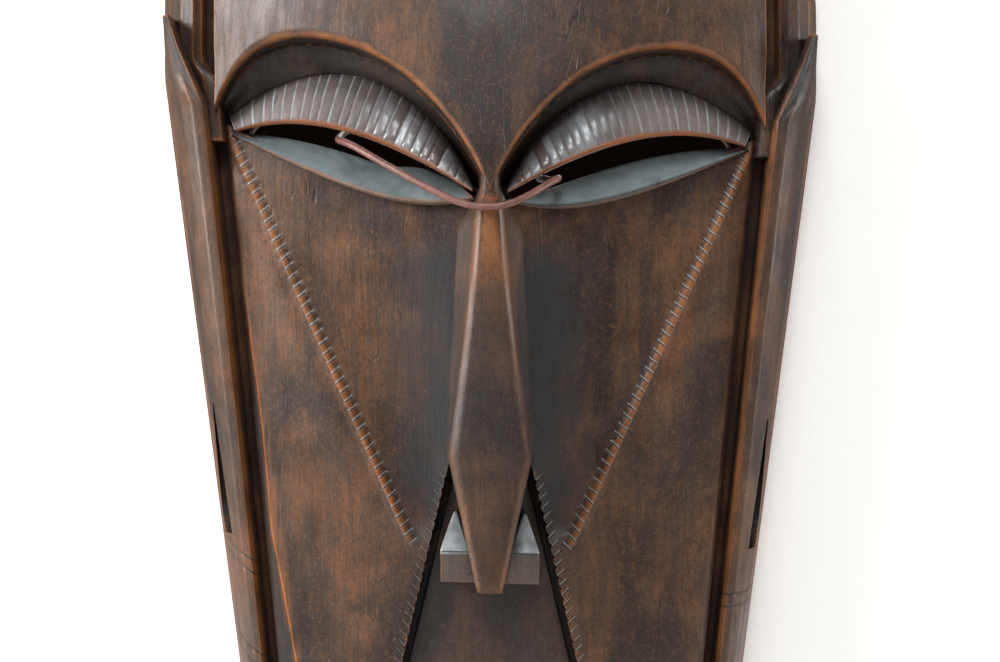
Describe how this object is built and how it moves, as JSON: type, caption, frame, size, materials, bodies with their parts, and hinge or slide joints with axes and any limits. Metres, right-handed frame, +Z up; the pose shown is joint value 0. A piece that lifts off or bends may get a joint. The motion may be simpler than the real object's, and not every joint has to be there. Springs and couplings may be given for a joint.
{
  "type": "carved wall mask",
  "caption": "Tall carved wooden wall mask with arched brows, hollowed back, open eye slits and a wire loop over the nose bridge for hanging.",
  "frame": {"origin": "the point of the wall nail that carries the hanging wire, in the plane of the wall", "axes": "+Z up the mask, +X to the right seen from the front, the carved face looks along -Y and the hollow back is open at y = 0"},
  "size_m": [0.275, 0.0957, 0.5026],
  "materials": {
    "stained_wood": "dark brown stain and wax, satin, orange-brown where edges are worn",
    "brown_pvc": "reddish-brown insulation, satin",
    "bare_copper": "dull drawn copper"
  },
  "bodies": {
    "carving": {"mask": "stained_wood"},
    "hanging_wire": {"wire_sleeve": "brown_pvc", "wire_core": "bare_copper"}
  },
  "joints": [
    {"name": "wire_rock", "type": "hinge", "parent": "carving", "child": "hanging_wire", "pos_m": [0, -0.0853, -0.0989], "axis": [1, 0, 0], "range_deg": [-3, 3]}
  ]
}
